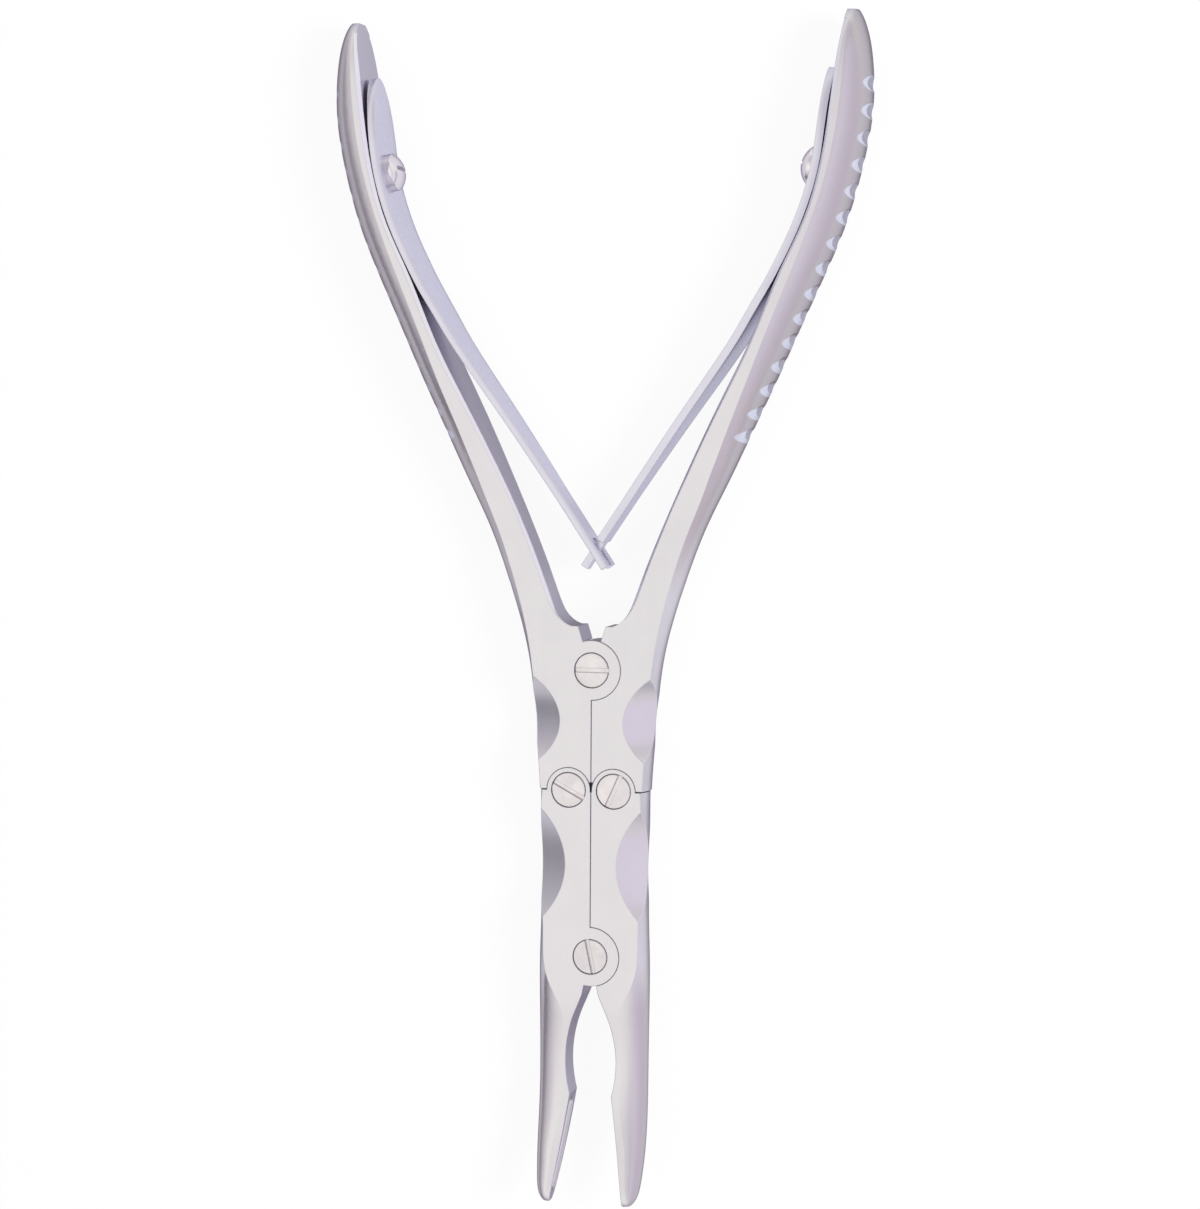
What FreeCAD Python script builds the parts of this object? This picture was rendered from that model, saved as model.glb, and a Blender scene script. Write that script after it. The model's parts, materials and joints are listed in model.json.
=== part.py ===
import FreeCAD, Part
import math
import os

from FreeCAD import Vector

# Double-action bone rongeur, millimetres.
# Drawn about the handle pivot: x across, y towards the grips, z up from the middle of the lap.
# At the end everything is moved so that the origin is the bottom centre of the whole tool.
# The tool lies open. Each half is drawn on the +x side, and the left one is its mirror image.

# Linkage
link_drop = 18.7            # handle pivot to the line of the two link pivots
link_offset = 3.6           # middle line to each link pivot
jaw_pivot_drop = 26.0       # line of the link pivots to the jaw pivot
handle_close = 12.2         # degrees that each handle swings in from open to closed

# Lap joints
lap_depth = 6.0             # both layers together
layer_gap = 0.05            # between the front and back layer
seam_gap = 0.05             # from the middle line to each half
boss_radius = 4.6           # round bosses at the handle and jaw pivots
link_boss_radius = 3.45     # round bosses at the link pivots
boss_clearance = 0.08       # recess round a boss
wedge_trim = 1.3            # how much of the thin wedge of each handle between the link bosses is off
jaw_wedge_trim = 0.25       # and of each jaw
link_seam = 0.2             # straight seam between handle and jaw beside the link boss

# Pivot screws
head_radius = 2.72
head_height = 1.3
head_clearance = 0.06
shank_radius = 1.7
pivot_clearance = 0.04
opened_clearance = 0.08     # at the jaw pivot
thread_clearance = 0.02
slot_width = 0.7
slot_depth = 0.5
head_chamfer = 0.15

# Handles: sections across the handle, from the link end to the tip of the grip
# y, edge of the flat face, outermost point, half depth, sharpness of the edge
# Over the lap they are a little too deep, and lap_faces brings them to size.
handle_sections = [
    (-24.0, 7.75, 8.45, 3.1, 0.9),
    (-18.0, 8.15, 8.85, 3.1, 0.9),
    (-12.0, 8.55, 9.28, 3.1, 0.9),
    (-6.0, 8.97, 9.75, 3.1, 0.9),
    (0.0, 9.50, 10.38, 3.1, 0.88),
    (6.0, 10.45, 11.65, 3.1, 0.8),
    (14.0, 12.50, 14.15, 3.1, 0.7),
    (22.0, 15.20, 17.20, 3.1, 0.6),
    (30.0, 18.50, 21.10, 3.5, 0.5),
    (37.0, 21.30, 24.40, 4.25, 0.4),
    (44.0, 24.20, 27.70, 5.0, 0.3),
    (52.0, 27.40, 31.30, 5.3, 0.25),
    (60.0, 30.70, 34.95, 5.35, 0.2),
    (68.0, 33.85, 38.30, 5.35, 0.2),
    (77.0, 36.60, 40.90, 5.35, 0.2),
    (86.0, 38.15, 42.35, 5.3, 0.2),
    (92.5, 38.70, 42.20, 4.95, 0.2),
    (96.5, 38.90, 41.55, 4.1, 0.15),
    (99.0, 39.00, 40.70, 2.7, 0.1),
    (100.0, 39.05, 40.10, 1.4, 0.1),
]
notch_width = 2.2           # half width of the notch above the handle pivot
notch_top = 6.8             # shoulder height above the handle pivot
shoulder_flat = 3.2         # where the shoulder turns up
handle_inner = [
    (5.1, 8.0), (6.7, 11.2), (7.9, 14.5), (9.9, 19.6), (14.3, 29.5), (20.7, 42.4), (24.8, 50.6),
    (29.2, 61.0), (32.9, 69.0), (35.2, 77.0), (36.75, 87.0), (37.5, 93.0), (38.35, 98.5), (38.7, 102.0),
]
handle_flat_end = 22.0      # the handles are as deep as the lap up to here
opening_radius = 64.0       # of the curve that leads out of the lap's flat faces
opening_run = 28.0
inner_chamfer = 0.5
bevel_start = 6.8           # height where the broken inner edge begins
bevel_fade = 4.0            # and how far it takes to reach its full width
bevel_end = 98.0
handle_relief_y = -8.0      # ground hollow in the side of each handle
handle_relief_bite = 5.0
handle_relief_half = 6.9

# Grip scallops on the spine of each handle
scallop_count = 15
scallop_pitch = 3.97
scallop_first = 88.9
scallop_radius = 1.5
scallop_depth = 0.42

# Jaws
rim_start = 22.2            # jaw pivot to the heel of the cutting rim
jaw_reach = 38.5            # jaw pivot to the tip
rim_gap = 0.04              # left between the rims when the jaws are closed
# y from the jaw pivot, edge of the flat face, outermost point, half depth, sharpness, height
jaw_lap_sections = [
    (30.7, 7.95, 8.65, 3.1, 0.9, 0.0),
    (24.7, 7.90, 8.60, 3.1, 0.9, 0.0),
    (18.7, 7.85, 8.55, 3.1, 0.9, 0.0),
    (12.7, 7.80, 8.50, 3.1, 0.9, 0.0),
    (6.7, 7.72, 8.50, 3.1, 0.85, 0.0),
    (1.7, 7.60, 8.65, 3.06, 0.6, 0.0),
    (-4.3, 6.60, 8.80, 3.02, 0.3, 0.0),
    (-9.3, 4.40, 8.80, 2.83, 0.05, 0.0),
    (-15.3, 4.70, 8.75, 2.35, 0.05, 0.0),
]
# the same, with the share of the way from the heel of the rim to the tip in place of y
jaw_nose_sections = [
    (0.0, 4.80, 8.75, 2.25, 0.05, 0.2),
    (0.37, 5.50, 8.75, 2.15, 0.05, 1.05),
    (0.67, 6.10, 8.55, 1.95, 0.05, 2.25),
    (0.87, 6.40, 8.20, 1.65, 0.05, 3.25),
    (0.96, 6.40, 7.65, 1.25, 0.05, 3.8),
    (1.0, 6.30, 7.00, 0.7, 0.05, 4.1),
]
jaw_flat_end = -17.3        # the jaws are no deeper than the lap down to here, from the jaw pivot
jaw_notch_half = 1.35       # below the jaw pivot
jaw_waist = [(1.4, -50.8), (2.5, -53.5)]
jaw_hollow = (4.05, -60.3)
jaw_relief_y = -30.4
jaw_relief_bite = 4.05
jaw_relief_half = 8.6
cup_radius = 1.4            # groove inside the cutting rim, round at both ends
cup_end_wall = 0.9

# Leaf springs
spring_thickness = 1.2
spring_seat_gap = 0.08      # between spring and grip
head_seat_gap = 0.02        # between spring and screw head
spring_width_top = 9.6
spring_width_low = 4.6
spring_end_height = 91.5
spring_end_length = 11.5    # of the half ellipse at the top
spring_taper_start = 58.0
spring_taper_end = 26.0
fork_root_height = 19.95
tongue_height = 19.8
tongue_width = 2.0
fork_slot_width = 2.5

# Spring screws
spring_screw_height = 76.6
spring_head_radius = 2.9
spring_head_height = 2.35
spring_head_rim = 1.0       # straight part of the head, under the dome
spring_shank_radius = 1.2
spring_shank_length = 3.6

reach = 60.0                # longer than any section, for cutting tools
spare = 1.0                 # how far a cutting tool stands clear of the steel

half_lap = lap_depth / 2
half_gap = layer_gap / 2
link_y = -link_drop
jaw_y = link_y - jaw_pivot_drop
jaw_sections = [(jaw_y + row[0],) + row[1:] for row in jaw_lap_sections]
for row in jaw_nose_sections:
    jaw_sections.append((jaw_y - rim_start - row[0] * (jaw_reach - rim_start),) + row[1:])
spring_outer = [
    (37.0, spring_end_height + spare), (36.35, 87.0), (35.1, 77.0), (32.75, 69.0), (29.0, 61.0),
    (25.5, 55.0), (21.5, 48.6), (12.3, 35.6), (1.7, 20.0), (-1.3, 15.5),
]


def swing(radius, angle):
    """Point on a circle about the origin, angle in degrees from straight down towards +x."""
    return radius * math.sin(math.radians(angle)), -radius * math.cos(math.radians(angle))


def jaw_closing_angle():
    """Angle that each jaw turns when its handle swings in by handle_close."""
    upper = math.hypot(link_offset, link_drop)
    lower = math.hypot(link_offset, jaw_pivot_drop)
    start = math.atan2(link_offset, link_drop)
    spread = upper * math.sin(start + math.radians(handle_close))
    return math.degrees(math.asin(spread / lower) - math.asin(link_offset / lower))


def pin(x, y, radius, low, high):
    return Part.makeCylinder(radius, high - low, Vector(x, y, low))


def mirrored(shape):
    return shape.mirror(Vector(0, 0, 0), Vector(1, 0, 0))


def spline(points):
    curve = Part.BSplineCurve()
    curve.interpolate([Vector(x, y, 0) for x, y in points])
    return curve.toShape()


def polyline(points):
    corners = [Vector(x, y, 0) for x, y in points]
    return [Part.LineSegment(a, b).toShape() for a, b in zip(corners, corners[1:])]


def extruded(edges, half_height):
    face = Part.Face(Part.Wire(Part.__sortEdges__(edges)))
    face.translate(Vector(0, 0, -half_height))
    return face.extrude(Vector(0, 0, 2 * half_height))


def side_curve(y, crease, outer, edge_height, middle, sharpness):
    """Quarter of a section, from the edge of the flat face round to the outermost line."""
    rise = edge_height - middle
    return [
        Vector(crease, y, edge_height),
        Vector(crease + 0.55 * (outer - crease), y, edge_height - 0.55 * sharpness * rise),
        Vector(outer, y, middle + 0.5 * rise),
        Vector(outer, y, middle),
    ]


def bezier(poles):
    curve = Part.BezierCurve()
    curve.setPoles(poles)
    return curve.toShape()


def section(y, crease, outer, half, sharpness, height=0.0):
    """Closed outline across the tool: flat faces front and back, rounded on the outside."""
    inside = -reach / 4
    top = height + half
    bottom = height - half
    return Part.Wire([
        Part.LineSegment(Vector(inside, y, bottom), Vector(inside, y, top)).toShape(),
        Part.LineSegment(Vector(inside, y, top), Vector(crease, y, top)).toShape(),
        bezier(side_curve(y, crease, outer, top, height, sharpness)),
        bezier(side_curve(y, crease, outer, bottom, height, sharpness)[::-1]),
        Part.LineSegment(Vector(crease, y, bottom), Vector(inside, y, bottom)).toShape(),
    ])


def relief(y, bite, side, half_length, edge):
    """Round tool that grinds a slanting hollow from the face down to the side."""
    run = math.hypot(side - bite, half_lap)
    along = Vector((side - bite) / run, 0, -half_lap / run)
    out = Vector(half_lap / run, 0, (side - bite) / run)
    sag = (edge - bite) / (out.x + out.z / -along.z * along.x)
    radius = (half_length ** 2 + sag ** 2) / (2 * sag)
    start = Vector(bite, y, half_lap) + out * radius - along * reach / 2
    front = Part.makeCylinder(radius, reach, start, along)
    back = front.mirror(Vector(0, 0, 0), Vector(0, 0, 1))
    return front, back


def at_height(sections, y, column):
    """Value of one column of a section table at height y."""
    rows = sorted(sections)
    for low, high in zip(rows, rows[1:]):
        if low[0] <= y <= high[0]:
            share = (y - low[0]) / (high[0] - low[0])
            return low[column] + share * (high[column] - low[column])
    raise ValueError("no section at this height")


def lap_faces(flat_end):
    """Side view of the room for a lever: flat over the lap, then opening out in a gentle curve."""
    way = math.copysign(1, flat_end)
    front = []
    for run in (0, opening_run / 2, opening_run):
        rise = opening_radius - math.sqrt(opening_radius ** 2 - run ** 2)
        front.append(Vector(-reach, flat_end + way * run, half_lap + rise))
    back = [Vector(p.x, p.y, -p.z) for p in front]
    lap_end = [front[0], Vector(-reach, -way * reach, half_lap), Vector(-reach, -way * reach, -half_lap), back[0]]
    far_end = [Vector(-reach, 2 * way * reach, p.z) for p in (front[-1], back[-1])]
    edges = [Part.Arc(*front).toShape(), Part.Arc(*back).toShape()]
    edges += Part.makePolygon(lap_end).Edges
    edges += Part.makePolygon([front[-1]] + far_end + [back[-1]]).Edges
    face = Part.Face(Part.Wire(Part.__sortEdges__(edges)))
    return face.extrude(Vector(2 * reach, 0, 0))


def lapped(body, x, y, radius, boss_in_front):
    """Gives the body its round boss in one layer and a recess for the other boss in the other."""
    recess = radius + boss_clearance
    if boss_in_front:
        cut_back = pin(x, y, recess, -reach / 4, half_gap)
        boss = pin(x, y, radius, half_gap, half_lap)
        return body.cut(cut_back).fuse(boss)
    cut_front = pin(x, y, recess, -half_gap, reach / 4)
    boss = pin(x, y, radius, -half_lap, -half_gap)
    return body.cut(cut_front).fuse(boss)


def head_hole(x, y, clearance):
    """Hole and countersunk seat for a screw head in the front layer."""
    hole = pin(x, y, shank_radius + clearance, -half_lap - spare, half_lap + spare)
    floor = half_lap - head_height - clearance
    seat = pin(x, y, head_radius + head_clearance, floor, half_lap + spare)
    return hole.fuse(seat)


def threaded_hole(x, y):
    """Hole that the screw is turned into, in the back layer."""
    return pin(x, y, shank_radius + thread_clearance, -half_lap - spare, half_lap + spare)


def handle_outline():
    """Right handle seen from the front, wider than the handle on its outer side."""
    notch_start = (seam_gap, 0.0)
    edges = polyline([
        (reach, link_y + link_seam / 2),
        (link_offset, link_y + link_seam / 2),
        (link_offset, link_y + wedge_trim),
        (seam_gap, link_y + wedge_trim),
        notch_start,
        (notch_width, notch_top),
        (shoulder_flat, notch_top),
    ])
    edges.append(spline([(shoulder_flat, notch_top)] + handle_inner))
    edges += polyline([
        handle_inner[-1],
        (reach, handle_inner[-1][1]),
        (reach, link_y + link_seam / 2),
    ])
    return edges


def scallops():
    """Row of shallow round cuts down the spine of the right grip."""
    cuts = []
    y = scallop_first
    for _ in range(scallop_count):
        x = at_height(handle_sections, y, 2)
        above = at_height(handle_sections, y + spare, 2)
        slope = math.atan((above - x) / spare)
        out = scallop_radius - scallop_depth
        centre_x = x + out * math.cos(slope)
        centre_y = y - out * math.sin(slope)
        cuts.append(pin(centre_x, centre_y, scallop_radius, -reach / 4, reach / 4))
        y -= scallop_pitch * math.cos(slope)
    return cuts


def handle(is_left):
    envelope = Part.makeLoft([section(*row) for row in handle_sections], True, False)
    body = envelope.common(extruded(handle_outline(), reach / 4))
    body = body.common(lap_faces(handle_flat_end))
    edge = at_height(handle_sections, handle_relief_y + handle_relief_half, 1)
    side = at_height(handle_sections, handle_relief_y, 2)
    grinders = relief(handle_relief_y, handle_relief_bite, side, handle_relief_half, edge)
    body = body.cut(list(grinders) + scallops() + list(inner_bevel()) + [spring_seat()])
    body = lapped(body, link_offset, link_y, link_boss_radius, False)
    body = body.cut(threaded_hole(link_offset, link_y))
    body = body.cut(spring_screw_hole())
    if is_left:
        body = mirrored(body)
    body = lapped(body, 0, 0, boss_radius, is_left)
    hole = head_hole(0, 0, pivot_clearance) if is_left else threaded_hole(0, 0)
    return body.cut(hole).removeSplitter()


def inner_bevel():
    """Long cutter that breaks the inner front edge of the right grip, fading out near the lap."""
    rings = []
    for x, y in handle_inner[:-1]:
        on_lap = y < handle_flat_end
        top = half_lap if on_lap else at_height(handle_sections, min(y, bevel_end), 3)
        width = inner_chamfer * min(1.0, (y - bevel_start) / bevel_fade)
        corners = [
            (x - spare, top - width - spare),
            (x + width + spare, top + spare),
            (x - spare, top + spare),
        ]
        points = [Vector(px, y, pz) for px, pz in corners]
        rings.append(Part.makePolygon(points + points[:1]))
    front = Part.makeLoft(rings, True, False)
    return front, front.mirror(Vector(0, 0, 0), Vector(0, 0, 1))


def jaw_outline():
    """Right jaw seen from the front, wider than the jaw on its outer side."""
    angle = jaw_closing_angle()
    heel_x, heel_y = swing(rim_start, angle)
    tip_x, tip_y = swing(jaw_reach + 2 * spare, angle)
    heel = (heel_x + rim_gap / 2, jaw_y + heel_y)
    tip = (tip_x + rim_gap / 2, jaw_y + tip_y)
    edges = polyline([
        (reach, link_y - link_seam / 2),
        (link_offset, link_y - link_seam / 2),
        (link_offset, link_y - jaw_wedge_trim),
        (seam_gap, link_y - jaw_wedge_trim),
        (seam_gap, jaw_y),
        (jaw_notch_half, jaw_waist[0][1]),
        jaw_waist[1],
    ])
    hollow = Part.Arc(*[Vector(x, y, 0) for x, y in (jaw_waist[1], jaw_hollow, heel)])
    edges.append(hollow.toShape())
    edges += polyline([heel, tip, (reach, tip[1]), (reach, link_y - link_seam / 2)])
    return edges


def cup():
    """Tools for the groove inside the cutting rim of the right jaw, which curves forward with it."""
    angle = jaw_closing_angle()
    first = rim_start + cup_end_wall + cup_radius
    last = jaw_reach - cup_end_wall - cup_radius
    stops = []
    for distance in (first, (first + last) / 2, last):
        x, y = swing(distance, angle)
        y += jaw_y
        stops.append(Vector(x + rim_gap / 2, y, at_height(jaw_sections, y, 5)))
    middle = Part.Arc(*stops).toShape()
    circle = middle.Curve
    heading = circle.Axis.cross(stops[0] - circle.Center)
    disc = Part.Face(Part.Wire(Part.Circle(stops[0], heading, cup_radius).toShape()))
    bend = math.degrees(middle.LastParameter - middle.FirstParameter)
    groove = disc.revolve(circle.Center, circle.Axis, bend)
    return [groove, Part.makeSphere(cup_radius, stops[0]), Part.makeSphere(cup_radius, stops[-1])]


def jaw(is_left):
    envelope = Part.makeLoft([section(*row) for row in jaw_sections], True, False)
    body = envelope.common(extruded(jaw_outline(), reach / 4))
    body = body.common(lap_faces(jaw_y + jaw_flat_end))
    edge = at_height(jaw_sections, jaw_relief_y + jaw_relief_half, 1)
    side = at_height(jaw_sections, jaw_relief_y, 2)
    grinders = relief(jaw_relief_y, jaw_relief_bite, side, jaw_relief_half, edge)
    body = body.cut(list(grinders) + cup())
    body = lapped(body, link_offset, link_y, link_boss_radius, True)
    body = body.cut(head_hole(link_offset, link_y, pivot_clearance))
    if is_left:
        body = mirrored(body)
    body = lapped(body, 0, jaw_y, boss_radius, is_left)
    hole = head_hole(0, jaw_y, opened_clearance) if is_left else threaded_hole(0, jaw_y)
    return body.cut(hole).removeSplitter()


def pivot_screw(x, y, slot_angle):
    """Slotted screw, flush with the front of the lap and with its back."""
    top = half_lap
    profile = polyline([
        (0, -half_lap), (shank_radius, -half_lap), (shank_radius, top - head_height),
        (head_radius, top - head_height), (head_radius, top - head_chamfer),
        (head_radius - head_chamfer, top), (0, top), (0, -half_lap),
    ])
    face = Part.Face(Part.Wire(profile))
    screw = face.revolve(Vector(0, 0, 0), Vector(0, 1, 0), 360)
    screw.rotate(Vector(0, 0, 0), Vector(1, 0, 0), 90)
    slot = Part.makeBox(3 * head_radius, slot_width, slot_depth + spare)
    slot.translate(Vector(-1.5 * head_radius, -slot_width / 2, top - slot_depth))
    slot.rotate(Vector(0, 0, 0), Vector(0, 0, 1), slot_angle)
    screw = screw.cut(slot)
    screw.translate(Vector(x, y, 0))
    return screw


def offset_points(points, distance):
    """The same line moved sideways, towards the middle of the tool."""
    curve = Part.BSplineCurve()
    curve.interpolate([Vector(x, y, 0) for x, y in points])
    moved = []
    for x, y in points:
        tangent = curve.tangent(curve.parameter(Vector(x, y, 0)))[0]
        moved.append((x + tangent.y * distance, y - tangent.x * distance))
    return moved


def spring_strip():
    """Right spring seen from the front: a strip of even thickness along the inside of the grip."""
    inner = offset_points(spring_outer, spring_thickness)
    edges = [spline(spring_outer), spline(inner)]
    edges += polyline([spring_outer[0], inner[0]]) + polyline([spring_outer[-1], inner[-1]])
    return extruded(edges, reach / 4)


def spring_seat():
    """Ground seat along the inside of the right grip, in which the spring lies."""
    floor = offset_points(spring_outer, -spring_seat_gap)
    edge = offset_points(spring_outer, spring_thickness)
    edges = [spline(floor), spline(edge)]
    edges += polyline([floor[0], edge[0]]) + polyline([floor[-1], edge[-1]])
    return extruded(edges, reach / 4)


def spring_width_profile():
    """Side view of a spring: half an ellipse at the top, parallel past the screw, then narrow."""
    top = spring_width_top / 2
    low = spring_width_low / 2
    centre = Vector(-reach, spring_end_height - spring_end_length, 0)
    crown = Vector(-reach, spring_end_height, 0)
    ellipse = Part.Ellipse(crown, centre + Vector(0, 0, top), centre)
    end = Part.ArcOfEllipse(ellipse, -math.pi / 2, math.pi / 2).toShape()
    side = [(centre.y, top), (spring_taper_start, top), (spring_taper_end, low), (0, low)]
    outline = side + [(y, -z) for y, z in reversed(side)]
    rest = Part.makePolygon([Vector(-reach, y, z) for y, z in outline])
    face = Part.Face(Part.Wire(Part.__sortEdges__([end] + rest.Edges)))
    return face.extrude(Vector(2 * reach, 0, 0))


def block(y_low, y_high, z_low, z_high):
    corner = Vector(-reach, y_low, z_low)
    return Part.makeBox(2 * reach, y_high - y_low, z_high - z_low, corner)


def spring_screw_axis():
    """Seat of the spring screw on the inner face of the right grip, and its direction."""
    curve = Part.BSplineCurve()
    curve.interpolate([Vector(x, y, 0) for x, y in spring_outer])
    line = [Vector(x, y, 0) for x, y in spring_outer]
    near = at_height([(p.y, p.x) for p in line], spring_screw_height, 1)
    parameter = curve.parameter(Vector(near, spring_screw_height, 0))
    tangent = curve.tangent(parameter)[0]
    inward = Vector(tangent.y, -tangent.x, 0)
    return curve.value(parameter), inward


def spring_screw_hole():
    seat, inward = spring_screw_axis()
    start = seat + inward * spare
    length = spring_shank_length + 2 * spare
    return Part.makeCylinder(spring_shank_radius + thread_clearance, length, start, inward * -1)


def spring(is_left):
    """Left spring ends in a fork, right spring in a tongue that passes through it."""
    body = spring_strip().common(spring_width_profile())
    if is_left:
        slot = block(-reach, fork_root_height, -fork_slot_width / 2, fork_slot_width / 2)
        body = body.cut(slot)
    else:
        front = block(-reach, tongue_height, tongue_width / 2, reach)
        back = block(-reach, tongue_height, -reach, -tongue_width / 2)
        body = body.cut([front, back])
    seat, inward = spring_screw_axis()
    bore = spring_shank_radius + pivot_clearance
    hole = Part.makeCylinder(bore, 3 * spring_thickness, seat - inward * spare, inward)
    face = seat + inward * (spring_thickness - head_seat_gap)
    flat_spot = Part.makeCylinder(spring_head_radius + pivot_clearance, spring_head_height, face, inward)
    body = body.cut([hole, flat_spot])
    return mirrored(body) if is_left else body


def spring_screw(is_left):
    """Domed slotted screw that holds the spring to the grip."""
    seat, inward = spring_screw_axis()
    face = seat + inward * spring_thickness
    shank = Part.makeCylinder(spring_shank_radius, spring_thickness + spring_shank_length, face, inward * -1)
    dome = spring_head_height - spring_head_rim
    dome_radius = (spring_head_radius ** 2 + dome ** 2) / (2 * dome)
    ball = Part.makeSphere(dome_radius, face + inward * (spring_head_height - dome_radius))
    rim = Part.makeCylinder(spring_head_radius, spring_head_height, face, inward)
    screw = ball.common(rim).fuse(shank)
    slot = Part.makeBox(3 * spring_head_radius, slot_width, spring_head_height)
    slot.translate(Vector(-1.5 * spring_head_radius, -slot_width / 2, spring_head_height - slot_depth))
    turn = FreeCAD.Rotation(Vector(0, 0, 1), inward)
    slot.Placement = FreeCAD.Placement(face, turn).multiply(slot.Placement)
    screw = screw.cut(slot)
    return mirrored(screw) if is_left else screw


def build():
    pieces = {
        "left_handle": handle(True),
        "right_handle": handle(False),
        "left_jaw": jaw(True),
        "right_jaw": jaw(False),
        "handle_pivot_screw": pivot_screw(0, 0, 0),
        "left_link_screw": pivot_screw(-link_offset, link_y, -28),
        "right_link_screw": pivot_screw(link_offset, link_y, 66),
        "jaw_pivot_screw": pivot_screw(0, jaw_y, 102),
        "left_spring": spring(True),
        "right_spring": spring(False),
        "left_spring_screw": spring_screw(True),
        "right_spring_screw": spring_screw(False),
    }
    box = Part.makeCompound(list(pieces.values())).optimalBoundingBox()
    shift = Vector(-box.Center.x, -box.Center.y, -box.ZMin)
    print("size", round(box.XLength, 2), round(box.YLength, 2), round(box.ZLength, 2))
    print("handle pivot", [round(v, 5) for v in shift])
    print("jaw closing angle", round(jaw_closing_angle(), 5))
    os.makedirs("parts", exist_ok=True)
    for name, shape in pieces.items():
        shape.translate(shift)
        print(name, shape.ShapeType, len(shape.Solids), shape.isValid(), round(shape.Volume, 2))
        shape.exportStep("parts/" + name + ".step")


build()
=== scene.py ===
import json
import math
import bpy
from mathutils import Matrix, Vector


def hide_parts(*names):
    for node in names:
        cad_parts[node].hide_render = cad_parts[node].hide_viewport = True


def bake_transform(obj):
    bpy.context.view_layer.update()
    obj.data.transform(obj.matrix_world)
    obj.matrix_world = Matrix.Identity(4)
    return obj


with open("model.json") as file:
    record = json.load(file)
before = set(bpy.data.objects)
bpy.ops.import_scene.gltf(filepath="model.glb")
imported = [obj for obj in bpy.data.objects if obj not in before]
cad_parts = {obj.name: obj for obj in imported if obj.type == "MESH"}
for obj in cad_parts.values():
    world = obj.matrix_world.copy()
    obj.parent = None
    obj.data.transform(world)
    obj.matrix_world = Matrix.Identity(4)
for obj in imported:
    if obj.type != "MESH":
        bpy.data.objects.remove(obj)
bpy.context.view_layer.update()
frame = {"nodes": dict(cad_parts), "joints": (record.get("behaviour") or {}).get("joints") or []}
nodes = frame["nodes"]
mm = 0.001
handlePivot = next(
    Vector(joint["pos_m"]) for joint in frame["joints"] if joint["name"] == "handle_pivot")
print("frame loaded:", len(nodes), "nodes")


def deselectAll():
    if bpy.context.object and bpy.context.object.mode != "OBJECT":
        bpy.ops.object.mode_set(mode="OBJECT")
    bpy.ops.object.select_all(action="DESELECT")


def takeAlone(piece):
    deselectAll()
    piece.select_set(True)
    bpy.context.view_layer.objects.active = piece


def blendBetween(low, high, share):
    return low + (high - low) * share


# short ways to add the shader nodes that come back often

def joinUp(tree, *pairs):
    for start, end in pairs:
        tree.links.new(start, end)


def setInputs(node, values):
    # an input's name is given with _ for its spaces
    for title, value in values.items():
        node.inputs[title.replace("_", " ")].default_value = value
    return node


def addNode(tree, kind, **values):
    return setInputs(tree.nodes.new("ShaderNode" + kind), values)


def addGroup(tree, group, **values):
    node = tree.nodes.new("ShaderNodeGroup")
    node.node_tree = group
    return setInputs(node, values)


def mixColours(tree, **values):
    node = tree.nodes.new("ShaderNodeMix")
    node.data_type = "RGBA"
    return setInputs(node, values)


def mathNode(tree, operation, *values):
    # each value is a number or a socket
    node = tree.nodes.new("ShaderNodeMath")
    node.operation = operation
    for socket, value in zip(node.inputs, values):
        if isinstance(value, (int, float)):
            socket.default_value = value
        else:
            tree.links.new(value, socket)
    return node.outputs["Value"]


def dotNode(tree, value, other):
    # other is a fixed direction or a socket
    node = tree.nodes.new("ShaderNodeVectorMath")
    node.operation = "DOT_PRODUCT"
    tree.links.new(value, node.inputs[0])
    if isinstance(other, tuple):
        node.inputs[1].default_value = other
    else:
        tree.links.new(other, node.inputs[1])
    return node.outputs["Value"]


def stepNode(tree, value, low, high):
    # smooth step from 0 at low to 1 at high
    node = addNode(tree, "MapRange", From_Min=low, From_Max=high)
    node.interpolation_type = "SMOOTHSTEP"
    tree.links.new(value, node.inputs["Value"])
    return node.outputs["Result"]


# the camera stands a little to the right of the tool and looks at a spot above the handle pivot
cameraSettings = {
    "above": (0.509 * mm, 10.022 * mm, 0.0),
    "turn": 15.0,
    "pitch": 4.0,
    "roll": 0.331,
    "distance": 0.450,
    "lens": 87.1,
    "sensor": 36.0,
    "nearest": 0.01,
    "farthest": 20.0,
}


def addCamera(settings):
    turn, pitch, roll = (math.radians(settings[name]) for name in ("turn", "pitch", "roll"))
    back = Vector((
        math.sin(turn) * math.cos(pitch),
        math.sin(pitch),
        math.cos(turn) * math.cos(pitch),
    ))
    across = Vector((math.cos(turn), 0.0, -math.sin(turn)))
    upward = back.cross(across)
    right = across * math.cos(roll) + upward * math.sin(roll)
    upDir = upward * math.cos(roll) - across * math.sin(roll)
    place = handlePivot + Vector(settings["above"]) + back * settings["distance"]
    turned = Matrix((right, upDir, back)).transposed().to_4x4()
    bpy.ops.object.camera_add()
    camera = bpy.context.object
    camera.name = "photoCamera"
    camera.matrix_world = Matrix.Translation(place) @ turned
    camera.data.sensor_fit = "HORIZONTAL"
    camera.data.sensor_width = settings["sensor"]
    camera.data.lens = settings["lens"]
    camera.data.clip_start = settings["nearest"]
    camera.data.clip_end = settings["farthest"]
    bpy.context.scene.camera = camera


addCamera(cameraSettings)
print("camera placed")


# a small lamp on the right and a broad one overhead, which the steel mirrors too
lightSettings = {
    "side": {"place": (0.55, 0.05, 0.45), "size": 0.25, "power": 3.0, "mirrored": False},
    "top": {"place": (-0.22, -0.02, 0.85), "size": 0.90, "power": 0.20, "mirrored": True},
}


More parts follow.
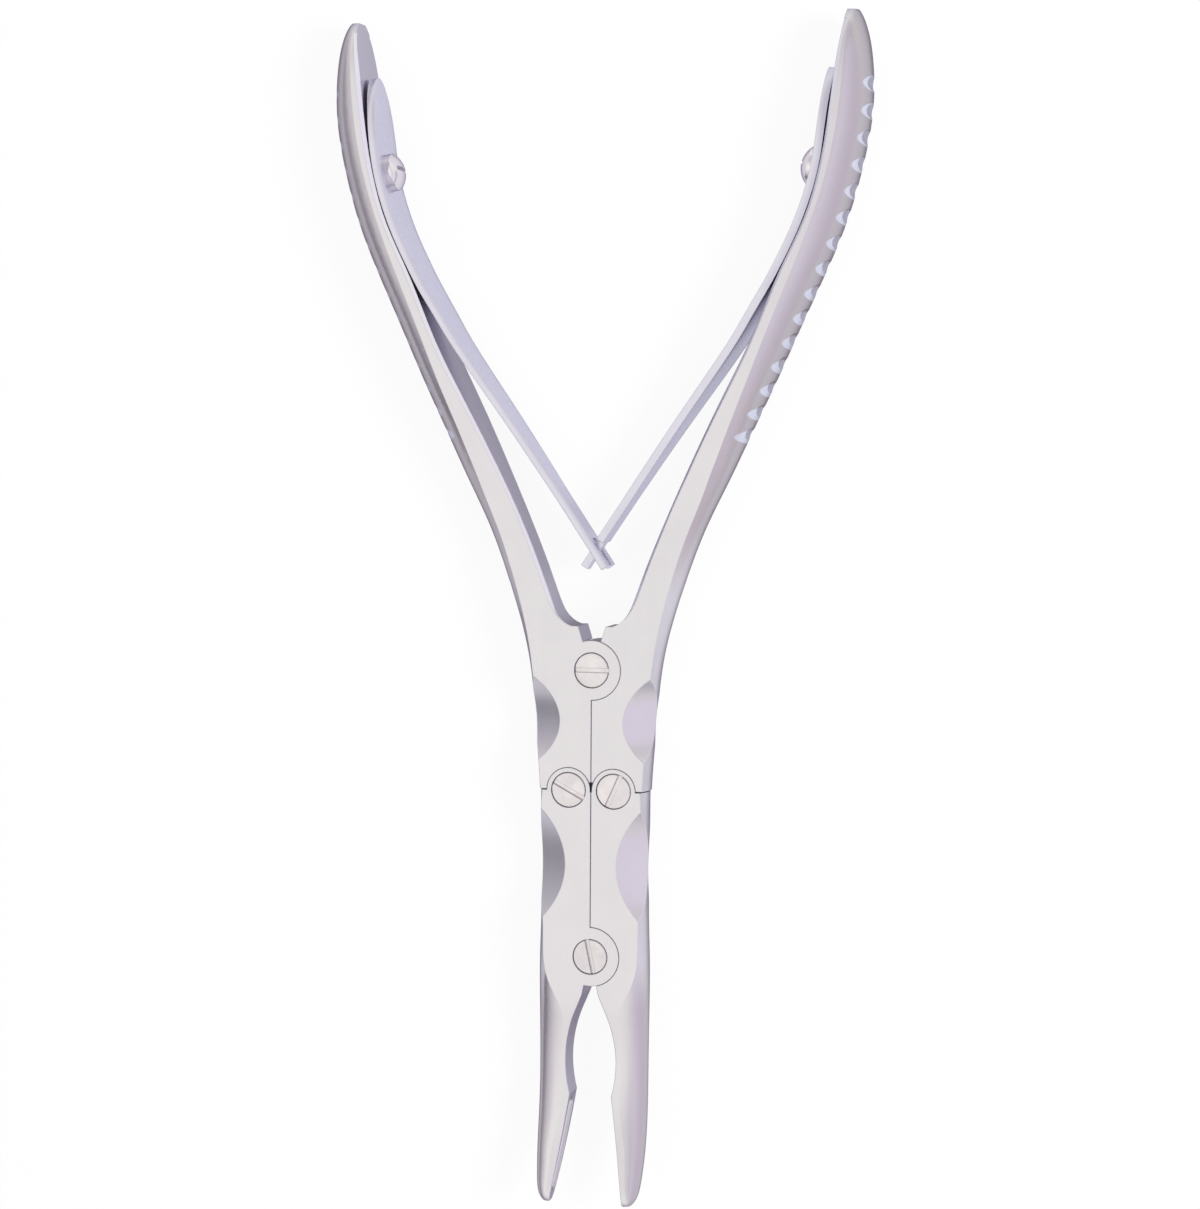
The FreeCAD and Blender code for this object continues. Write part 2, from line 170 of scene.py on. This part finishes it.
def addLights(settings):
    for name, lamp in settings.items():
        bpy.ops.object.light_add(type="AREA", location=lamp["place"])
        light = bpy.context.object
        light.name = name + "Light"
        light.data.shape = "DISK"
        light.data.size = lamp["size"]
        light.data.energy = lamp["power"]
        light.visible_glossy = lamp["mirrored"]
        aim = Vector((0.0, 0.0, 0.0)) - Vector(lamp["place"])
        light.rotation_euler = aim.to_track_quat("-Z", "Y").to_euler()


# soft tent all round: dark low down and on the left, paler towards the top
worldSettings = {
    "lean": (0.30, 0.40, 0.75),       # the direction in which the tent grows lighter
    "lowest": -0.50,
    "highest": 1.0,
    "stops": [
        (0.067, (0.140, 0.135, 0.160, 1.0)),
        (0.173, (0.330, 0.320, 0.370, 1.0)),
        (0.267, (0.520, 0.500, 0.560, 1.0)),
        (0.400, (0.760, 0.720, 0.760, 1.0)),
        (0.620, (0.920, 0.880, 0.890, 1.0)),
        (0.745, (0.945, 0.940, 0.905, 1.0)),
        (0.867, (0.680, 0.640, 0.700, 1.0)),
    ],
    # a lavender screen on the right, which the hollows on that side face
    "screen": (0.81, -0.10, 0.58),
    "screenEdge": (0.76, 0.90),
    "screenColour": (0.86, 0.80, 0.92, 1.0),
    "backdrop": (1.0, 1.0, 1.0, 1.0),  # all that the camera sees of the tent
}


def setWorld(settings):
    world = bpy.data.worlds.new("studio")
    bpy.context.scene.world = world
    world.use_nodes = True
    tree = world.node_tree
    tree.nodes.clear()
    output = addNode(tree, "OutputWorld")
    where = addNode(tree, "TexCoord").outputs["Generated"]
    place = addNode(tree, "MapRange", From_Min=settings["lowest"], From_Max=settings["highest"])
    ramp = addNode(tree, "ValToRGB")
    colours = ramp.color_ramp.elements
    colours.remove(colours[1])
    for number, (position, colour) in enumerate(settings["stops"]):
        stop = colours[0] if number == 0 else colours.new(position)
        stop.position = position
        stop.color = colour
    screen = stepNode(tree, dotNode(tree, where, settings["screen"]), *settings["screenEdge"])
    both = mixColours(tree, B=settings["screenColour"])
    room = addNode(tree, "Background")
    white = addNode(tree, "Background", Color=settings["backdrop"])
    path = addNode(tree, "LightPath")
    seen = addNode(tree, "MixShader")
    joinUp(
        tree,
        (dotNode(tree, where, settings["lean"]), place.inputs["Value"]),
        (place.outputs["Result"], ramp.inputs["Fac"]),
        (screen, both.inputs["Factor"]),
        (ramp.outputs["Color"], both.inputs["A"]),
        (both.outputs["Result"], room.inputs["Color"]),
        (path.outputs["Is Camera Ray"], seen.inputs["Fac"]),
        (room.outputs["Background"], seen.inputs[1]),
        (white.outputs["Background"], seen.inputs[2]),
        (seen.outputs["Shader"], output.inputs["Surface"]),
    )


floorSettings = {
    "size": 3.0,
    "below": 0.2 * mm,
    "colour": (0.93, 0.93, 0.93, 1.0),
    "seenShare": 0.90,
    "seenGlow": 1.0,
    "mirroredShare": 0.70,
    "mirroredGlow": 0.80,
    "mirroredColour": (0.90, 0.89, 1.0, 1.0),
}


def addFloor(settings):
    # plain pale sheet: white for the camera and paler in mirrors, both with the shadow kept
    spot = (0.0, 0.0, -settings["below"])
    bpy.ops.mesh.primitive_plane_add(size=settings["size"], location=spot)
    floor = bpy.context.object
    floor.name = "floor"
    material = bpy.data.materials.new("paleFloor")
    material.use_nodes = True
    tree = material.node_tree
    tree.nodes.clear()
    output = addNode(tree, "OutputMaterial")
    path = addNode(tree, "LightPath")
    matte = addNode(tree, "BsdfDiffuse", Color=settings["colour"])
    white = addNode(tree, "Emission", Strength=settings["seenGlow"])
    paler = addNode(
        tree, "Emission", Strength=settings["mirroredGlow"], Color=settings["mirroredColour"])
    either = mathNode(
        tree, "MAXIMUM", path.outputs["Is Glossy Ray"], path.outputs["Is Transmission Ray"])
    mirrored = mathNode(tree, "MULTIPLY", either, settings["mirroredShare"])
    seen = mathNode(tree, "MULTIPLY", path.outputs["Is Camera Ray"], settings["seenShare"])
    mirrorMix = addNode(tree, "MixShader")
    cameraMix = addNode(tree, "MixShader")
    joinUp(
        tree,
        (mirrored, mirrorMix.inputs["Fac"]),
        (matte.outputs["BSDF"], mirrorMix.inputs[1]),
        (paler.outputs["Emission"], mirrorMix.inputs[2]),
        (seen, cameraMix.inputs["Fac"]),
        (mirrorMix.outputs["Shader"], cameraMix.inputs[1]),
        (white.outputs["Emission"], cameraMix.inputs[2]),
        (cameraMix.outputs["Shader"], output.inputs["Surface"]),
    )
    floor.data.materials.append(material)


addLights(lightSettings)
setWorld(worldSettings)
addFloor(floorSettings)
bpy.context.scene.view_settings.view_transform = "Standard"
print("studio ready")


# node groups that the steels share

def newGroup(name, inputs, outputs):
    group = bpy.data.node_groups.new(name, "ShaderNodeTree")
    for title, kind, value in inputs:
        socket = group.interface.new_socket(name=title, in_out="INPUT", socket_type=kind)
        if value is not None:
            socket.default_value = value
    for title, kind in outputs:
        group.interface.new_socket(name=title, in_out="OUTPUT", socket_type=kind)
    return group, group.nodes.new("NodeGroupInput"), group.nodes.new("NodeGroupOutput")


grainSettings = {
    "fine": {"Scale": 900.0, "Detail": 3.0},
    "coarse": {"Scale": 260.0, "Detail": 2.0},
    "coarseShare": 0.35,
    "marks": {"Scale": 420.0, "Detail": 1.0},
    "markFrom": 0.70,                 # only the highest of the marks' noise is a scratch
    "markTo": 0.78,
}


def makeGrainGroup(settings):
    # fine ground lines: noise stretched along the grain, a coarser set and a few deep scratches
    group, given, result = newGroup(
        "grindGrain",
        [("Vector", "NodeSocketVector", None), ("Fineness", "NodeSocketFloat", 1.0),
         ("Scratches", "NodeSocketFloat", 0.5)],
        [("Lines", "NodeSocketFloat"), ("Scratch", "NodeSocketFloat")])
    fine = addNode(group, "TexNoise", **settings["fine"])
    coarse = addNode(group, "TexNoise", **settings["coarse"])
    both = addNode(group, "Mix", Factor=settings["coarseShare"])
    mark = addNode(group, "TexNoise", **settings["marks"])
    cut = addNode(group, "MapRange", From_Min=settings["markFrom"], From_Max=settings["markTo"])
    sized = group.nodes.new("ShaderNodeVectorMath")
    sized.operation = "SCALE"
    scratch = mathNode(group, "MULTIPLY", cut.outputs["Result"], given.outputs["Scratches"])
    joinUp(
        group,
        (given.outputs["Vector"], sized.inputs[0]),
        (given.outputs["Fineness"], sized.inputs["Scale"]),
        (sized.outputs["Vector"], fine.inputs["Vector"]),
        (sized.outputs["Vector"], coarse.inputs["Vector"]),
        (sized.outputs["Vector"], mark.inputs["Vector"]),
        (fine.outputs["Fac"], both.inputs["A"]),
        (coarse.outputs["Fac"], both.inputs["B"]),
        (both.outputs["Result"], result.inputs["Lines"]),
        (mark.outputs["Fac"], cut.inputs["Value"]),
        (scratch, result.inputs["Scratch"]),
    )
    return group


mottleSettings = {
    "clouds": {"Detail": 4.0, "Roughness": 0.6},
    "specks": {"Scale": 2600.0, "Detail": 2.0},
}


def makeMottleGroup(settings):
    # cloudy unevenness of a bead-blasted and handled surface
    group, given, result = newGroup(
        "handledMottle",
        [("Vector", "NodeSocketVector", None), ("Cloud Size", "NodeSocketFloat", 140.0)],
        [("Cloud", "NodeSocketFloat"), ("Speck", "NodeSocketFloat")])
    cloud = addNode(group, "TexNoise", **settings["clouds"])
    speck = addNode(group, "TexNoise", **settings["specks"])
    joinUp(
        group,
        (given.outputs["Vector"], cloud.inputs["Vector"]),
        (given.outputs["Cloud Size"], cloud.inputs["Scale"]),
        (given.outputs["Vector"], speck.inputs["Vector"]),
        (cloud.outputs["Fac"], result.inputs["Cloud"]),
        (speck.outputs["Fac"], result.inputs["Speck"]),
    )
    return group


edgeSettings = {
    "radius": 0.2 * mm,
    "radiusSamples": 6,
    "flat": 1.0,                      # likeness of the rounded normal to the true one
    "worn": 0.86,
    "seamReach": 0.4 * mm,
    "seamSamples": 8,
    "open": 0.45,                     # how much of the surroundings a spot sees
    # the painted shade in seams and slots is full where a spot sees this little of its
    # surroundings
    "paintedShade": 0.08,
}


def makeEdgeGroup(settings):
    # where an edge is rounded by polishing, and painted shade where a seam or slot sees little of
    # its surroundings
    group, given, result = newGroup(
        "edgesAndSeams",
        [("Edge Radius", "NodeSocketFloat", settings["radius"]),
         ("Seam Reach", "NodeSocketFloat", settings["seamReach"])],
        [("Edge", "NodeSocketFloat"), ("Seam", "NodeSocketFloat"),
         ("Normal", "NodeSocketVector")])
    soft = addNode(group, "Bevel")
    soft.samples = settings["radiusSamples"]
    shape = addNode(group, "NewGeometry")
    likeness = dotNode(group, soft.outputs["Normal"], shape.outputs["Normal"])
    spread = addNode(group, "MapRange", From_Min=settings["flat"], From_Max=settings["worn"])
    shade = addNode(group, "AmbientOcclusion")
    shade.samples = settings["seamSamples"]
    shade.only_local = False
    deep = addNode(group, "MapRange", From_Min=settings["open"], From_Max=settings["paintedShade"])
    joinUp(
        group,
        (given.outputs["Edge Radius"], soft.inputs["Radius"]),
        (likeness, spread.inputs["Value"]),
        (spread.outputs["Result"], result.inputs["Edge"]),
        (given.outputs["Seam Reach"], shade.inputs["Distance"]),
        (shade.outputs["AO"], deep.inputs["Value"]),
        (deep.outputs["Result"], result.inputs["Seam"]),
        (soft.outputs["Normal"], result.inputs["Normal"]),
    )
    return group


grainGroup = makeGrainGroup(grainSettings)
mottleGroup = makeMottleGroup(mottleSettings)
edgeGroup = makeEdgeGroup(edgeSettings)
print("node groups made")


# in each finish, the seam colour is painted shade laid into seams and slots
steelFinishes = {
    "satinLever": {
        "pale": (0.800, 0.785, 0.795, 1.0), "dull": (0.730, 0.715, 0.735, 1.0),
        "seam": (0.23, 0.20, 0.18, 1.0), "edge": (0.84, 0.83, 0.84, 1.0),
        "glancing": (0.32, 0.29, 0.33, 1.0), "roughLow": 0.20, "roughHigh": 0.31,
        "stretch": (1.0, 0.045, 1.0), "fineness": 1.0, "scratches": 0.35,
        "cloudSize": 150.0, "bump": 0.10, "edgeRadius": 0.22 * mm,
    },
    "springStrip": {
        "pale": (0.770, 0.765, 0.840, 1.0), "dull": (0.700, 0.695, 0.770, 1.0),
        "seam": (0.11, 0.10, 0.12, 1.0), "edge": (0.82, 0.82, 0.85, 1.0),
        "glancing": (0.95, 0.95, 1.00, 1.0), "roughLow": 0.22, "roughHigh": 0.34,
        "stretch": (1.0, 0.05, 1.0), "fineness": 1.2, "scratches": 0.3,
        "cloudSize": 220.0, "bump": 0.07, "edgeRadius": 0.15 * mm,
    },
    "turnedScrew": {
        "pale": (0.960, 0.915, 0.895, 1.0), "dull": (0.580, 0.560, 0.590, 1.0),
        "seam": (0.23, 0.19, 0.17, 1.0), "edge": (0.86, 0.85, 0.86, 1.0),
        "glancing": (0.60, 0.56, 0.58, 1.0), "roughLow": 0.20, "roughHigh": 0.30,
        "stretch": (1.0, 0.25, 1.0), "fineness": 0.8, "scratches": 0.12,
        "cloudSize": 300.0, "bump": 0.05, "edgeRadius": 0.15 * mm,
    },
    "brightScrew": {
        "pale": (0.930, 0.905, 0.900, 1.0), "dull": (0.760, 0.740, 0.760, 1.0),
        "seam": (0.16, 0.12, 0.16, 1.0), "edge": (0.90, 0.89, 0.90, 1.0),
        "glancing": (0.50, 0.44, 0.52, 1.0), "roughLow": 0.08, "roughHigh": 0.15,
        "stretch": (1.0, 0.25, 1.0), "fineness": 0.8, "scratches": 0.12,
        "cloudSize": 300.0, "bump": 0.05, "edgeRadius": 0.15 * mm,
    },
}
speckShare = 0.35                     # of the specks in the height of the surface
bumpHeight = 0.05 * mm


def makeSteel(name, finish, offset):
    material = bpy.data.materials.new(name)
    material.use_nodes = True
    tree = material.node_tree
    tree.nodes.clear()
    output = addNode(tree, "OutputMaterial")
    steel = addNode(tree, "BsdfPrincipled", Metallic=1.0, Specular_Tint=finish["glancing"])
    where = addNode(tree, "TexCoord").outputs["Object"]
    along = addNode(tree, "Mapping", Scale=finish["stretch"], Location=offset)
    plain = addNode(tree, "Mapping", Location=offset)
    grain = addGroup(tree, grainGroup, Fineness=finish["fineness"], Scratches=finish["scratches"])
    mottle = addGroup(tree, mottleGroup, Cloud_Size=finish["cloudSize"])
    edges = addGroup(tree, edgeGroup, Edge_Radius=finish["edgeRadius"])
    tint = mixColours(tree, A=finish["pale"], B=finish["dull"])
    worn = mixColours(tree, B=finish["edge"])
    # painted shade darkens the seams and slots, where little of the surroundings is seen
    paintedShade = mixColours(tree, B=finish["seam"])
    rough = addNode(tree, "MapRange", To_Min=finish["roughLow"], To_Max=finish["roughHigh"])
    raised = mathNode(
        tree, "MULTIPLY_ADD", mottle.outputs["Speck"], speckShare, grain.outputs["Lines"])
    heights = mathNode(tree, "SUBTRACT", raised, grain.outputs["Scratch"])
    bump = addNode(tree, "Bump", Strength=finish["bump"], Distance=bumpHeight)
    joinUp(
        tree,
        (where, along.inputs["Vector"]),
        (where, plain.inputs["Vector"]),
        (along.outputs["Vector"], grain.inputs["Vector"]),
        (plain.outputs["Vector"], mottle.inputs["Vector"]),
        (mottle.outputs["Cloud"], tint.inputs["Factor"]),
        (tint.outputs["Result"], worn.inputs["A"]),
        (edges.outputs["Edge"], worn.inputs["Factor"]),
        (worn.outputs["Result"], paintedShade.inputs["A"]),
        (edges.outputs["Seam"], paintedShade.inputs["Factor"]),
        (paintedShade.outputs["Result"], steel.inputs["Base Color"]),
        (grain.outputs["Lines"], rough.inputs["Value"]),
        (rough.outputs["Result"], steel.inputs["Roughness"]),
        (heights, bump.inputs["Height"]),
        (edges.outputs["Normal"], bump.inputs["Normal"]),
        (bump.outputs["Normal"], steel.inputs["Normal"]),
        (steel.outputs["BSDF"], output.inputs["Surface"]),
    )
    return material


nodeFinishes = {
    "left_handle": "satinLever", "right_handle": "satinLever",
    "left_jaw": "satinLever", "right_jaw": "satinLever",
    "handle_pivot_screw": "turnedScrew", "left_link_screw": "turnedScrew",
    "right_link_screw": "turnedScrew", "jaw_pivot_screw": "turnedScrew",
    "left_spring_screw": "brightScrew", "right_spring_screw": "brightScrew",
    "left_spring": "springStrip", "right_spring": "springStrip",
}
grainShift = (0.037, 0.011, 0.019)    # from one piece to the next, so that no two look alike
steels = {}
for number, (nodeName, finishName) in enumerate(nodeFinishes.items()):
    shift = tuple(step * number for step in grainShift)
    steels[nodeName] = makeSteel(nodeName + "Steel", steelFinishes[finishName], shift)
    for slot in nodes[nodeName].material_slots:
        slot.material = steels[nodeName]
print("steels assigned:", len(steels))


# painted light on the levers: painted shade round the outer side of grips and jaws, a painted
# reflection on the inner faces, and a pale painted reflection in the scallops down the grips;
# heights are from the handle pivot, and a facing is how far a surface looks away from the middle
# of the tool
paintedLeverLight = {
    "gripFrom": (10.0 * mm, 24.0 * mm),
    "jawFrom": (-44.0 * mm, -54.0 * mm),
    "outerFacing": (0.15, 0.65),
    "innerFacing": (-0.30, -0.70),
    # the outer colour is painted shade on the outward sides, the inner colour a painted reflection
    # on the inner faces
    "outer": (0.590, 0.560, 0.575, 1.0),
    "inner": (0.900, 0.890, 0.945, 1.0),
}
scallopSettings = {
    "count": 15,
    "first": 88.9 * mm,
    "pitch": 4.08 * mm,               # along the tool, between the first two
    "closing": 0.0065,                # how the pitch shrinks down the leaning part of the grip
    "halfLength": 1.25 * mm,
    "halfDepth": 3.3 * mm,
    "rim": (1.1, 0.85),
    "endRim": 0.02,
    "facing": (0.05, 0.20),
    # the scallops' colour and metallic paint in a pale reflection
    "colour": (0.71, 0.74, 0.83, 1.0),
    "metallic": 0.80,
}


def makeLeverGroup(tones, row):
    # Side is -1 on the left levers and 1 on the right ones
    group, given, result = newGroup(
        "leverPaintedLight",
        [("Vector", "NodeSocketVector", None), ("Side", "NodeSocketFloat", 0.0)],
        [("Outer Shade", "NodeSocketFloat"), ("Inner Sheen", "NodeSocketFloat"),
         ("Scallop Sheen", "NodeSocketFloat")])

    def calc(operation, *values):
        return mathNode(group, operation, *values)

    def step(value, limits):
        return stepNode(group, value, *limits)

    place = addNode(group, "SeparateXYZ")
    shape = addNode(group, "NewGeometry")
    facing = addNode(group, "SeparateXYZ")
    joinUp(
        group,
        (given.outputs["Vector"], place.inputs["Vector"]),
        (shape.outputs["Normal"], facing.inputs["Vector"]),
    )
    outward = calc("MULTIPLY", facing.outputs["X"], given.outputs["Side"])
    height = calc("SUBTRACT", place.outputs["Y"], handlePivot.y)
    depth = calc("SUBTRACT", place.outputs["Z"], handlePivot.z)
    zones = calc("ADD", step(height, tones["gripFrom"]), step(height, tones["jawFrom"]))
    outer = calc("MULTIPLY", zones, step(outward, tones["outerFacing"]))
    inner = step(outward, tones["innerFacing"])

    # counted grows by one with each scallop down the grip, and is a half at the first one's middle
    even = calc("DIVIDE", calc("SUBTRACT", row["first"], height), row["pitch"])
    closing = calc("MULTIPLY_ADD", even, row["closing"], 1.0)
    counted = calc("MULTIPLY_ADD", even, closing, 0.5)
    rim = row["endRim"]
    begun = step(counted, (-rim, rim))
    unfinished = step(counted, (row["count"] + rim, row["count"] - rim))
    middle = calc("SUBTRACT", calc("FRACT", counted), 0.5)
    along = calc("DIVIDE", middle, row["halfLength"] / row["pitch"])
    across = calc("DIVIDE", depth, row["halfDepth"])
    spread = calc("ADD", calc("MULTIPLY", along, along), calc("MULTIPLY", across, across))
    ovals = calc("MULTIPLY", calc("MULTIPLY", begun, unfinished), step(spread, row["rim"]))
    scallops = calc("MULTIPLY", ovals, step(outward, row["facing"]))
    joinUp(
        group,
        (outer, result.inputs["Outer Shade"]),
        (inner, result.inputs["Inner Sheen"]),
        (scallops, result.inputs["Scallop Sheen"]),
    )
    return group


leverGroup = makeLeverGroup(paintedLeverLight, scallopSettings)


def toneLever(material, side, tones, row=None):
    # lays the painted shade and reflection over the colour so far, and the scallops' painted
    # reflection where a row of them is given
    tree = material.node_tree
    steel = next(node for node in tree.nodes if node.type == "BSDF_PRINCIPLED")
    colour = steel.inputs["Base Color"].links[0].from_socket
    where = addNode(tree, "TexCoord")
    masks = addGroup(tree, leverGroup, Side=side)
    tree.links.new(where.outputs["Object"], masks.inputs["Vector"])
    # painted shade on the outer sides, then a painted reflection on the inner faces
    layers = [("Outer Shade", tones["outer"]), ("Inner Sheen", tones["inner"])]
    if row:
        layers.append(("Scallop Sheen", row["colour"]))
    for name, tone in layers:
        layer = mixColours(tree, B=tone)
        joinUp(tree, (masks.outputs[name], layer.inputs["Factor"]), (colour, layer.inputs["A"]))
        colour = layer.outputs["Result"]
    tree.links.new(colour, steel.inputs["Base Color"])
    if row:
        # lower metallic in the scallops adds to their painted reflection
        metal = addNode(tree, "MapRange", To_Min=1.0, To_Max=row["metallic"])
        joinUp(
            tree,
            (masks.outputs["Scallop Sheen"], metal.inputs["Value"]),
            (metal.outputs["Result"], steel.inputs["Metallic"]),
        )


for side, word in ((-1, "left"), (1, "right")):
    toneLever(steels[word + "_handle"], side, paintedLeverLight, scallopSettings)
    toneLever(steels[word + "_jaw"], side, paintedLeverLight)
print("levers toned")


# leaf springs, which bend between the two handles; heights are from the handle pivot
springSettings = {
    "thickness": 1.2 * mm,
    "widthTop": 9.6 * mm,
    "widthLow": 4.6 * mm,
    "top": 91.5 * mm,
    "roundLength": 11.5 * mm,         # of the half ellipse at the top
    "taperStart": 58.0 * mm,
    "taperEnd": 26.0 * mm,
    "forkRoot": 19.95 * mm,
    "tongueRoot": 19.8 * mm,
    "slotHalf": 1.25 * mm,
    "tongueHalf": 1.0 * mm,
    "rows": 150,
    "columns": 8,
    "rowCrowding": 1.25,              # above 1 for closer rows at the round end
    "innerShare": 0.45,               # most that the middle columns take of the half width
    "mergeWithin": 0.02 * mm,
    "edgeWidth": 0.14 * mm,
    "edgeSegments": 2,
    "smoothAngle": 35.0,
    "bendStart": 21.5 * mm,           # where the strip leaves the grip
    # outer face of the right strip in mm, from the grip end to the tip
    "line": [
        (36.9, 91.5), (36.35, 87.0), (35.1, 77.0), (32.75, 69.0), (29.0, 61.0), (25.5, 55.0),
        (21.5, 48.6), (12.3, 35.6), (1.7, 20.0), (-1.3, 15.5),
    ],
}


def smoothPoint(points, share):
    # point of a smooth line through the given ones, share from 0 to 1
    place = share * (len(points) - 1)
    first = min(int(place), len(points) - 2)
    t = place - first
    near = [points[max(0, min(len(points) - 1, first + step))] for step in (-1, 0, 1, 2)]
    weights = (
        -0.5 * t + t ** 2 - 0.5 * t ** 3,
        1 - 2.5 * t ** 2 + 1.5 * t ** 3,
        0.5 * t + 2 * t ** 2 - 1.5 * t ** 3,
        -0.5 * t ** 2 + 0.5 * t ** 3,
    )
    return tuple(sum(w * p[axis] for w, p in zip(weights, near)) for axis in (0, 1))


def springHalfWidth(height, settings):
    share = (height - settings["taperEnd"]) / (settings["taperStart"] - settings["taperEnd"])
    share = max(0.0, min(1.0, share))
    half = blendBetween(settings["widthLow"], settings["widthTop"], share) / 2
    into = (height - settings["top"]) / settings["roundLength"] + 1.0
    return half * math.sqrt(max(0.0, 1.0 - max(0.0, into) ** 2))


def layStrip(name, side, innerHalf, settings):
    # a flat grid laid along the strip's line
    columns = settings["columns"]
    bpy.ops.mesh.primitive_grid_add(
        x_subdivisions=columns, y_subdivisions=settings["rows"], size=2.0)
    strip = bpy.context.object
    strip.name = name
    line = [(x * mm, y * mm) for x, y in settings["line"]]
    for vertex in strip.data.vertices:
        across = vertex.co.x
        share = ((1.0 - vertex.co.y) / 2) ** settings["rowCrowding"]
        x, y = smoothPoint(line, share)
        half = springHalfWidth(y, settings)
        inner = min(innerHalf, settings["innerShare"] * half)
        step = abs(across) * columns / 2               # 0 to 4 from the middle out
        z = inner * step / 2 if step <= 2 else blendBetween(inner, half, (step - 2) / 2)
        vertex.co = handlePivot + Vector((side * x, y, math.copysign(z, across)))
    return strip


def cutTip(strip, side, innerHalf, settings):
    # the left strip loses its middle below the fork's root, the right one all but its middle
    root = settings["forkRoot"] if side < 0 else settings["tongueRoot"]
    takeAlone(strip)
    bpy.ops.object.mode_set(mode="EDIT")
    bpy.ops.mesh.select_mode(type="FACE")
    bpy.ops.mesh.select_all(action="DESELECT")
    bpy.ops.object.mode_set(mode="OBJECT")
    for face in strip.data.polygons:
        spot = face.center - handlePivot
        inside = abs(spot.z) < innerHalf
        face.select = spot.y < root and inside == (side < 0)
    bpy.ops.object.mode_set(mode="EDIT")
    bpy.ops.mesh.delete(type="FACE")
    bpy.ops.mesh.select_all(action="SELECT")
    bpy.ops.mesh.remove_doubles(threshold=settings["mergeWithin"])
    bpy.ops.mesh.normals_make_consistent(inside=False)
    bpy.ops.object.mode_set(mode="OBJECT")


def thicken(strip, side, settings):
    # the face that is asked lies well above the tip, and tells which way the strip is turned
    facing = strip.data.polygons[len(strip.data.polygons) // 3].normal.x
    solid = strip.modifiers.new("thickness", "SOLIDIFY")
    solid.thickness = settings["thickness"]
    solid.offset = 1.0 if facing * side < 0 else -1.0
    soft = strip.modifiers.new("softEdges", "BEVEL")
    soft.width = settings["edgeWidth"]
    soft.segments = settings["edgeSegments"]
    soft.limit_method = "ANGLE"
    for modifier in ("thickness", "softEdges"):
        bpy.ops.object.modifier_apply(modifier=modifier)
    bpy.ops.object.mode_set(mode="EDIT")
    bpy.ops.mesh.select_all(action="SELECT")
    bpy.ops.mesh.normals_make_consistent(inside=False)
    bpy.ops.object.mode_set(mode="OBJECT")
    bpy.ops.object.shade_smooth_by_angle(angle=math.radians(settings["smoothAngle"]))


for side, word in ((-1, "left"), (1, "right")):
    innerHalf = springSettings["slotHalf"] if side < 0 else springSettings["tongueHalf"]
    strip = layStrip(word + "SpringStrip", side, innerHalf, springSettings)
    cutTip(strip, side, innerHalf, springSettings)
    thicken(strip, side, springSettings)
    strip.data.materials.append(steels[word + "_spring"])
    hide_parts(word + "_spring")
    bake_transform(strip)
print("springs bent")

deselectAll()
